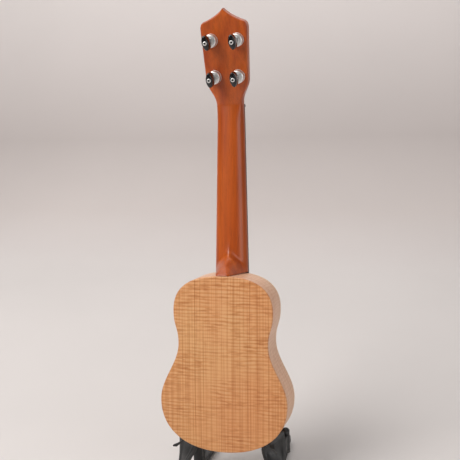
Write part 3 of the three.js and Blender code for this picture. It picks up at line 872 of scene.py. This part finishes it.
def bridge():
    """Section by section across the strings: tie block at the tail side, channel, saddle bed, front ramp."""
    rings = []
    for x in [-s for s in BRIDGE_STEPS] + [-27 + k * 1.5 for k in range(37)] + BRIDGE_STEPS[::-1]:
        body = ease(28.6 - abs(x), 0, 1.4)
        tip = ease(BRIDGE_HALF - abs(x), 0, 2.2)
        shoulder = 5 * ease(abs(x), 25, BRIDGE_HALF)
        low_z, high_z = BRIDGE_Z - BRIDGE_WIDE / 2 + shoulder, BRIDGE_Z + BRIDGE_WIDE / 2 - shoulder
        wing = 1.2 + 2.6 * tip + 0.5 * ease(BRIDGE_HALF - abs(x), 0, 9)
        flat = [0.35, 1, wing - 0.5] + [wing] * 10 + [wing - 0.5, 1, 0.35]
        rings.append([
            (x, lerp(low, high, body), lerp(low_z, high_z, share))
            for (share, high), low in zip(BRIDGE_SECTION, flat)])
    return loft(rings)


piece("bridge", bridge(), "rosewood", 35)
plates = [rounded_box((-24, 7.4, z), (24, 7.75, z + 1.1), 0.17, 2) for z in (47.4, 51.2)]
piece("tie_block_strips", merged(*plates), "bone", nodes=())


# ---- strings
def head_to_uke(p):
    x, y, z = p
    turned_p = Matrix.Rotation(HEAD_ANGLE, 3, "X") @ Vector((x, y, z))
    return turned_p + Vector((0, 0, NUT_Z + NUT_THICK))


for order, (along, across, _) in enumerate(TUNERS.values()):
    sx, nx = string_x(order, SADDLE_Z), string_x(order, NUT_Z + NUT_THICK / 2)
    inward = -copysign(3 + 0.42, across)
    post_end = head_to_uke((across + inward, 6.2, along - NUT_THICK))
    thick = (0.35, 0.45, 0.5, 0.36)[order]
    over_saddle = Vector((sx, SADDLE_TOP + STRING_ABOVE, SADDLE_Z))
    over_nut = Vector((nx, NUT_TOP + 0.55, NUT_Z + NUT_THICK / 2))
    past_nut = Vector((nx, NUT_TOP + STRING_ABOVE, NUT_Z + NUT_THICK - 0.4))
    route = smooth_route([(sx, 4.4, 55.6), (sx, 6.4, 56.4), (sx, 9.4, 58.2), tuple(over_saddle)], 5)
    route += [over_saddle.lerp(over_nut, k / 8) for k in range(1, 9)] + [past_nut, post_end]
    knot = [(sx, 6.6, 46.9), (sx + 1.4, 7.9, 47.4), (sx + 1.2, 8.15, 50), (sx + 0.4, 7.95, 52.8), (sx, 6, 54)]
    tie = [(sx - 1.3, 8.1, 46.2), (sx - 1.2, 8.2, 50), (sx - 0.4, 7.9, 52.9), (sx, 6, 53.9)]
    ends = [tube(smooth_route(points, 6), thick, 8) for points in (knot, tie)]
    piece(f"string_{order + 1}", merged(tube(route, thick, 10), *ends), "nylon", 60)


# ---- tuners
def knurl(turn, height):
    return 0.16 * cos(turn * 56) if 1.4 < height < 8.4 else 0


def lens_ring(half_long, half_thick, z, sharp):
    ring = []
    for t in turns(64):
        c, s = cos(t), sin(t)
        ring.append((
            copysign(abs(c) ** (2 / sharp), c) * half_long if abs(c) > 1e-9 else 0,
            copysign(abs(s) ** (2 / 2.1), s) * half_thick if abs(s) > 1e-9 else 0, z))
    return ring


def hexagon(turn):
    """How far a hexagon with worn corners reaches at a turn, as a share of its radius."""
    from_corner = (turn + pi / 6) % (pi / 3) - pi / 6
    return min(1, 0.9 / max(cos(from_corner), 0.87))


BUTTON_LONG = [(8, 2.9), (11, 3.2), (13, 5.4), (15.5, 8.2), (19, 9.6), (24, 10), (28, 10), (30.4, 9.7),
               (31.4, 9), (31.9, 8), (32.1, 6)]
BUTTON_THICK = [(8, 2.9), (11, 3.1), (13, 3.7), (15.5, 4.3), (19, 4.7), (24, 4.9), (28, 4.9), (30.4, 4.6),
                (31.4, 4), (31.9, 3.3), (32.1, 2.2)]
BUTTON_HEIGHTS = [8, 9.5, 11, 12, 13, 14.2, 15.5, 17, 19, 21.5, 24, 26.5, 28.5, 29.6, 30.4, 30.95, 31.4, 31.7,
                  31.9, 32.02, 32.1]

for key, (along, across, turn) in TUNERS.items():
    seat = HEAD @ Matrix.Translation((across * MM, -HEAD_THICK * MM, (along - NUT_THICK) * MM))
    seat = seat @ Matrix.Rotation(pi / 2, 4, "X")
    through = -HEAD_THICK - 1.5
    shell = [(4.6, through), (4.6, 0.2), (9, 0.2), (9.2, 0.5), (9.2, 1.1), (8.9, 1.35)]
    shell += [(8.9, 1.6 + 0.6 * k) for k in range(12)]
    shell += [(8.95, 8.7), (8.6, 9.4), (7.6, 9.95), (5.4, 10.05)]
    shell += [(5.1, 10.5), (4.6, 11.4), (3.3, 11.6), (3.3, 9)]
    piece("tuner_housing_" + key, lathe(shell, 224, knurl), "nickel", 40, place=seat)
    top = -HEAD_THICK
    washer = [(6.2, top - 0.05), (6.2, top - 0.7), (5.9, top - 0.95), (5.2, top - 1), (4.7, top - 1)]
    hexed = []
    for r, h in ((5, top - 1), (5, top - 3.1), (4.6, top - 3.5), (3.3, top - 3.6), (3.3, top - 1.2)):
        hexed.append([(r * cos(t) * hexagon(t), r * sin(t) * hexagon(t), h) for t in turns(48)])
    bushing = merged(lathe(washer, 48), loft(hexed))
    piece("tuner_bushing_" + key, bushing, "nickel", 30, (), seat)
    end = top - 12
    profile = [(0.05, end), (1.6, end), (2.4, end + 0.3), (2.95, end + 0.9), (3, end + 2.4), (2.55, end + 4),
               (2.35, end + 5.4), (2.6, end + 6.8), (3, end + 7.9), (3, end + 9), (3, 1), (0.05, 1)]
    post = "tuner_post_" + key
    piece(post, lathe(profile, 40), "nickel", 40, place=seat, body=post)
    coil = []
    for k in range(70):
        t = k / 69
        spin = t * 2 * pi * 3 + (pi if across > 0 else 0)
        coil.append((2.95 * cos(spin), 2.95 * sin(spin), top - 6.2 - 2.2 * (t - 0.5)))
    tail = [(-3.4, 0, top - 8.9), (3.6, 0.2, top - 8.7)]
    winding = merged(tube(coil, 0.42, 8), tube(tail, 0.42, 8))
    piece("string_winding_" + key, winding, "nylon", 60, (), seat, post)
    grip = seat @ Matrix.Rotation(pi / 2 + radians(turn), 4, "Z")
    rings = []
    for h in BUTTON_HEIGHTS:
        sharp = lerp(2, 1.55, ease(h, 11, 17))
        rings.append(lens_ring(between(h, BUTTON_LONG), between(h, BUTTON_THICK), h, sharp))
    button = "tuner_button_" + key
    piece(button, loft(rings), "gloss", 30, place=grip, body=button)
    screw = [(2.75, 31.6), (2.8, 32.3), (2.55, 32.62), (2, 32.75), (1.5, 32.6), (1.35, 32.2), (1.3, 32)]
    piece("button_screw_" + key, lathe(screw, 40), "nickel", 50, (), grip, button)
    # the screw's sunk centre and cross slot in near-black, painted shade in the recess
    cross = merged(lathe([(1.34, 31.9), (1.34, 32.16), (0.05, 32.2)], 24),
                   rounded_box((-1, -0.16, 32.1), (1, 0.16, 32.3), 0.08, 2),
                   rounded_box((-0.16, -1, 32.1), (0.16, 1, 32.3), 0.08, 2))
    piece("screw_recess_" + key, cross, "painted_recess_shade", nodes=(), place=grip, body=button)


# ---- stand
PIN_X, PIN_Y = 75, 8
BARREL = 5.2
KNUCKLE_LOW, KNUCKLE_HIGH = TAIL - 10, TAIL + 12
LUG = 6
SHELF_TURN = radians(35)
SHELF_WIDE, LIP_WIDE, LIP_REACH = 17, 18, 0.3
SHELF_COLUMNS, SHELF_DEEP = 12, 25
PAD, FLANGE = 2.5, 3.5
POST_X, POST_HALF, POST_FRONT, POST_BACK = 59, 7, 13, 27
RAIL_BACK, RAIL_HIGH, RAIL_TOE, FOOT = 116, 12, 6, 3
REAR_FOOT_Y = RAIL_BACK - 10
FRONT_FOOT_X, FRONT_FOOT_Y = 77, -39
PIN_BORE = 2.6
REST_TOP, REST_FRONT, REST_BACK = 113, 4.6, 20
CROSS = (78, 108, 16.5, 26)


def rail_shift(y):
    return RAIL_TOE * max(0, y - POST_FRONT) / (RAIL_BACK - POST_FRONT)


def rib_height(x, y):
    return TAIL + outline_height(x) / cos(LEAN) - y * tan(LEAN)


FRONT_EDGE = smooth_route(
    [(49, -25, 82), (48, -26, 60), (57.5, -36, 43), (64, -43, 24), (70, -52, FOOT + 0.3)], 10)
REAR_EDGE = smooth_route(
    [(74, -5, 86), (76, -5, 62), (75, -10, 43), (76, -19, 24), (82, -26, FOOT + 0.3)], 10)
BLADE = [(0, 0.55), (0.012, 0.85), (0.035, 1), (0.12, 1), (0.155, 0.86), (0.19, 0.62), (0.3, 0.58),
         (0.42, 0.56), (0.55, 0.56), (0.68, 0.58), (0.79, 0.62), (0.825, 0.86), (0.86, 1), (0.965, 1),
         (0.988, 0.85), (1, 0.55)]


def leg():
    """The wing's blade: thick rims down both edges and a thinner panel between them."""
    rings = []
    count = len(FRONT_EDGE)
    for k, (low, high) in enumerate(zip(FRONT_EDGE, REAR_EDGE)):
        along = Vector((high.x - low.x, high.y - low.y, 0)).normalized()
        normal = Vector((along.y, -along.x, 0))
        rim = max(ease(k, 2.5, 0.5), ease(k, count - 4, count - 2))
        ring = []
        for side in (1, -1):
            row = BLADE if side > 0 else list(reversed(BLADE))
            for share, thick in row:
                width = 4 * lerp(thick, max(thick, 0.55 if share in (0, 1) else 0.97), rim)
                p = low.lerp(high, share) + normal * side * width
                p.z = min(p.z, rib_height(p.x, p.y) - 4)
                ring.append(tuple(p))
        rings.append(ring)
    return loft(rings)


def shelf_place(along, across):
    inner_x, inner_y = lerp(46, 62, along), lerp(-27, -8, along)
    out = Vector((cos(SHELF_TURN), -sin(SHELF_TURN)))
    flat = min(across, SHELF_WIDE)
    front = max(0, 1 - along / LIP_REACH)
    lip_run = max(0, across - SHELF_WIDE) * lerp(0.12, 1, front ** 1.3)
    x, y = inner_x + out.x * (flat + lip_run), inner_y + out.y * (flat + lip_run)
    held = rib_height(inner_x + out.x * flat, inner_y + out.y * flat)
    drop = 5 * (1 - exp(-lip_run / 3)) + lip_run ** 2 * 0.007 + lip_run * 4 * min(along, LIP_REACH)
    return x, y, held - 0.3 - drop


def shelf(along_low, along_high, across_low, across_high, below, thick, edge, grooves=0):
    """A curved strip under the rib. Its two long edges are rounded, and it can have grooves across."""
    rings = []
    steps = 40
    for i in range(steps + 1):
        t = i / steps
        across = lerp(across_low, across_high, t)
        ends = min(t, 1 - t) * abs(across_high - across_low)
        on_lip = ease(across, SHELF_WIDE, SHELF_WIDE + 6)
        pinch = edge * round_in(ends, edge)
        top, under = [], []
        groove = 0.35 * max(0, cos(t * 2 * pi * grooves)) if grooves else 0
        for k in range(SHELF_COLUMNS + 1):
            u = k / SHELF_COLUMNS
            near = min(u, 1 - u) * SHELF_DEEP
            pull = lerp(edge * 0.6, 0.25, on_lip) * (1 - min(near / (edge * 0.8), 1)) ** 2
            x, y, z = shelf_place(lerp(along_low, along_high, u), across)
            top.append((x, y, z - below - pinch * 0.9 - pull - groove))
            under.append((x, y, z - below - thick + pinch * 0.9 + pull))
        rings.append(top + under[::-1])
    verts, faces = loft(rings, ends=False)
    count = len(rings[0])
    for start in (0, steps * count):
        end = start + count - 1
        faces += [(start + k, start + k + 1, end - 1 - k, end - k) for k in range(SHELF_COLUMNS)]
    return verts, faces


def at_pin(profile, sides=40):
    return moved(lathe(profile, sides), (PIN_X, PIN_Y, 0))


def barrel(low, high):
    """The wing's knuckle round the pin, with a shallow groove at half height."""
    r, middle = BARREL, (low + high) / 2
    return at_pin([
        (PIN_BORE, low), (r - 0.5, low), (r, low + 0.5), (r, middle - 0.9), (r - 0.35, middle - 0.5),
        (r - 0.35, middle + 0.5), (r, middle + 0.9), (r, high - 0.5), (r - 0.5, high), (PIN_BORE, high)])


def wing():
    link = rounded_box((PIN_X - 5, -9, KNUCKLE_LOW), (PIN_X + 3, PIN_Y - 2.4, KNUCKLE_HIGH), 1.6, 4)
    seat = shelf(0, 1, 0, SHELF_WIDE + LIP_WIDE, PAD, FLANGE, 1.7)
    return merged(leg(), seat, barrel(KNUCKLE_LOW, KNUCKLE_HIGH), link)


def saddle_pad():
    return shelf(0.04, 0.94, 0.8, SHELF_WIDE - 0.5, 0, PAD - 0.2, 0.8, 7)


def both(shape, base, look, body, angle):
    """The right-hand piece and its mirror image. {} in body stands for the side."""
    for word, part in (("right", shape), ("left", flipped(shape))):
        piece(f"{base}_{word}", part, look, angle, place=STAND, body=body.format(word))


both(wing(), "wing", "plastic", "wing_{}", 38)
both(saddle_pad(), "saddle_pad", "rubber", "wing_{}", 50)


def pin():
    low = KNUCKLE_LOW - GAP - LUG - 1
    high = KNUCKLE_HIGH + GAP + LUG
    profile = [(0.05, low - 0.2), (1.7, low - 0.1), (2.2, low + 0.4), (2.2, high + 0.3), (4, high + 0.3),
               (4, high + 1), (3.7, high + 1.5), (3, high + 2), (2.1, high + 2.2), (1.9, high + 1.6),
               (0.05, high + 1.5)]
    return at_pin(profile, 32)


both(pin(), "hinge_pin", "gunmetal", "back_frame", 40)


def foot(x, y):
    profile = [(0.05, 0.35), (3.6, 0.3), (4, 0), (4.9, 0), (5.1, 0.3), (5.6, 0.3), (5.9, 0.8), (6, 1.5),
               (5.7, 1.8), (5.9, 2.1), (5.9, 2.9), (5, 3.1), (0.05, 3.1)]
    return moved(lathe(profile, 40), (x, y, 0))


both(foot(FRONT_FOOT_X, FRONT_FOOT_Y), "front_foot", "rubber", "wing_{}", 40)
rear_foot = foot(POST_X - rail_shift(REAR_FOOT_Y), REAR_FOOT_Y)
both(rear_foot, "rear_foot", "rubber", "back_frame", 40)


def four_corners(corner, low_a, high_a, low_b, high_b):
    """A closed section with the same corner four times. The corner's steps count in from both sides."""
    section = [(low_a + i, low_b + j) for i, j in corner]
    section += [(high_a - i, low_b + j) for i, j in reversed(corner)]
    section += [(high_a - i, high_b - j) for i, j in corner]
    section += [(low_a + i, high_b - j) for i, j in reversed(corner)]
    return section


def panel_bar(low, high, axis, radius=2, sink=1.3, rim=2.6):
    """A bar with round edges whose two side faces, across X, are sunk between rims, along the given axis."""
    low, high = Vector(low), Vector(high)
    cut_axis = 3 - axis if axis in (1, 2) else 1
    rings = []
    length = high[axis] - low[axis]
    marks = [0, 0.3, 0.9, 2, rim + 1, rim + 2.2, length / 2, length - rim - 2.2, length - rim - 1]
    marks += [length - m for m in (2, 0.9, 0.3, 0)]
    r = radius * 0.8
    for m in marks:
        near = min(m, length - m)
        inset = radius * round_in(near, radius)
        depth = sink * ease(near, rim, rim + 2)
        corner = [(depth, rim + 1), (0, rim), (0, r), (r * 0.3, r * 0.3), (r, 0)]
        ring = []
        for x, v in four_corners(
                corner, low.x + inset, high.x - inset, low[cut_axis] + inset, high[cut_axis] - inset):
            p = [x, 0, 0]
            p[cut_axis] = v
            p[axis] = low[axis] + m
            ring.append(tuple(p))
        rings.append(ring)
    return loft(rings)


LEANING = Matrix.Translation((0, 0, TAIL)) @ Matrix.Rotation(-LEAN, 4, "X")


def lug(low, high):
    r = BARREL
    eye = at_pin([
        (PIN_BORE, low), (r - 0.6, low), (r, low + 0.6), (r, high - 0.6), (r - 0.6, high), (PIN_BORE, high)])
    arm = rounded_box((POST_X, PIN_Y - 2, low), (PIN_X, PIN_Y + r - 0.1, high), 0.9)
    root = rounded_box((POST_X, PIN_Y - 2, low), (POST_X + POST_HALF, POST_FRONT + 2, high), 0.9)
    return merged(eye, arm, root)


def toed(shape):
    verts, faces = shape
    return [(x - rail_shift(y), y, z) for x, y, z in verts], faces


def frame_side():
    inner_x, outer_x = POST_X - POST_HALF, POST_X + POST_HALF
    base = FOOT + GAP
    parts = [
        panel_bar((inner_x, POST_FRONT, base), (outer_x, POST_BACK, TAIL + 34), 2),
        turned_by(panel_bar((inner_x, REST_FRONT + PAD, 33), (outer_x, REST_BACK, REST_TOP), 2), LEANING),
        toed(panel_bar((inner_x, POST_FRONT, base), (outer_x, RAIL_BACK, base + RAIL_HIGH), 1, rim=2.2)),
        lug(KNUCKLE_LOW - GAP - LUG, KNUCKLE_LOW - GAP),
        lug(KNUCKLE_HIGH + GAP, KNUCKLE_HIGH + GAP + LUG),
    ]
    back, top = POST_BACK, base + RAIL_HIGH
    side = ((-1, -1), (22, -1), (12, 4), (4, 12), (-1, 22))
    gusset = [[(x, back + y, top + z) for y, z in side] for x in (POST_X - 2, POST_X + 2)]
    return merged(*parts, loft(gusset))


def cross_piece():
    half = POST_X - POST_HALF + 2
    low, high, front, back = CROSS
    rings = []
    steps = 24
    for k in range(steps + 1):
        x = lerp(-half, half, k / steps)
        arch = 5 * (1 - (x / half) ** 2)
        a, b = low + arch, high - 2.5 * (1 - (x / half) ** 2)
        sink = 1.4 * ease(half - abs(x), 6, 10)
        corner = [(0, 1.5), (1.5, 0), (4, 0), (5.5, sink)]
        section = four_corners(corner, a, b, front, back)
        rings.append([(x, y, z) for z, y in section])
    return turned_by(loft(rings), LEANING)


right_side = frame_side()
whole = merged(right_side, flipped(right_side), cross_piece())
piece("back_frame", whole, "plastic", 34, place=STAND, body="back_frame")


def rest_pad():
    """Ribbed rubber on the face of a post, held with a rounded border."""
    half = POST_HALF - 1
    low, high = 72, REST_TOP - 3
    front, back = GAP, REST_FRONT + PAD - GAP
    rings = []
    steps = 72
    for k in range(steps + 1):
        z = lerp(low, high, k / steps)
        near = min(z - low, high - z)
        pull = 1.6 * round_in(near, 1.6)
        rows = 0.45 * max(0, cos((z - low) / (high - low) * 2 * pi * 9)) * ease(near, 2, 3.5)
        h = half - pull * 0.6
        face = front + pull
        left = [(-h, back), (-h, face + 1.4), (-h + 0.5, face + 0.5), (-h + 1.5, face),
                (-h + 2.2, face + rows)]
        rings.append([(x, y, z) for x, y in left + [(-x, y) for x, y in reversed(left)]])
    return turned_by(moved(loft(rings), (POST_X, 0, 0)), LEANING)


both(rest_pad(), "rest_pad", "rubber", "back_frame", 50)


def screws():
    """Round-head screws at both ends of the crossbar."""
    parts = []
    for x in (-POST_X, POST_X):
        for z in (86, 100):
            head = lathe([(0.05, 0.9), (0.8, 0.9), (1, 1.3), (1.9, 1.3), (2.6, 0.7), (2.8, -0.6)], 28)
            spin = Matrix.Rotation(-pi / 2, 4, "X")
            parts.append(turned_by(moved(turned_by(head, spin), (x, REST_BACK, z)), LEANING))
    return merged(*parts)


piece("frame_screws", screws(), "steel", 40, (), STAND, "back_frame")


# ---- studio
def studio():
    """A floor that curves up into a backdrop, pale and slightly warm, with painted light and shade: darker
    partway up the backdrop, lighter towards its top, and darker towards the right-hand side.
    """
    look = Look("studio")
    cloud = look.noise(look.stretched(), 1.6, 3)
    # painted light and shade: the backdrop darker partway up its curve and lighter again towards the top
    painted_light_by_height = look.ramp(look.axis("Z"), (0, (0.75, 0.72, 0.705)), (0.02, (0.72, 0.68, 0.665)),
                     (0.08, (0.66, 0.61, 0.59)), (0.26, (0.54, 0.495, 0.48)), (0.6, (0.72, 0.675, 0.66)),
                     (1, (0.90, 0.86, 0.845)))
    # painted shade: the backdrop darker towards the right-hand side, away from the key lamp
    painted_side_shade = look.ramp(look.axis("X", (0.4, 1, 1), (0.5, 0, 0)), (0.15, grey(1)), (0.85, grey(0.90)))
    color = look.mix(painted_light_by_height, look.ramp(cloud, (0.3, grey(0.95)), (0.7, grey(1))), 1)
    color = look.mix(color, painted_side_shade, 1)
    look.done(color, Roughness=0.85)
    width, bend = 5, 1.1
    turned = [pi / 2 * k / 16 for k in range(1, 17)]
    curve = [(0.9 + bend * sin(t), bend - bend * cos(t)) for t in turned]
    side = [(-3.5, 0), (-1, 0), (0.9, 0)] + curve + [(2, 3.5)]
    rows = [[(x, y, z) for x in (-width, 0, width)] for y, z in side]
    verts, faces = loft(rows, around=False, ends=False)
    mesh = bpy.data.meshes.new("studio")
    mesh.from_pydata(verts, [], faces)
    mesh.shade_smooth()
    mesh.materials.append(LOOKS["studio"])
    obj = placed("studio", mesh, Matrix())


studio()


def area_light(name, place, target, size, power, color=(1, 1, 1)):
    data = bpy.data.lights.new(name, "AREA")
    data.shape = "RECTANGLE"
    data.size, data.size_y = size
    data.energy = power
    data.color = color
    place, target = Vector(place), Vector(target)
    facing = (place - target).to_track_quat("Z", "Y").to_matrix().to_4x4()
    placed(name, data, Matrix.Translation(place) @ facing)


area_light("key", (-1.5, -1.8, 2.55), (0, 0, 0.35), (2, 2), 90, (1, 0.965, 0.94))
area_light("fill", (2.6, -1.6, 1), (0, 0, 0.3), (1.8, 1.8), 24, (1, 0.96, 0.95))
area_light("top", (-0.2, 0.7, 2.6), (0, 0.9, 0), (2.6, 2.2), 30, (1, 0.975, 0.965))

world = bpy.data.worlds.new("world")
bpy.context.scene.world = world
world.use_nodes = True
world.node_tree.nodes["Background"].inputs["Color"].default_value = (0.95, 0.94, 0.93, 1)
world.node_tree.nodes["Background"].inputs["Strength"].default_value = 0.05
bpy.context.scene.view_settings.view_transform = "Standard"
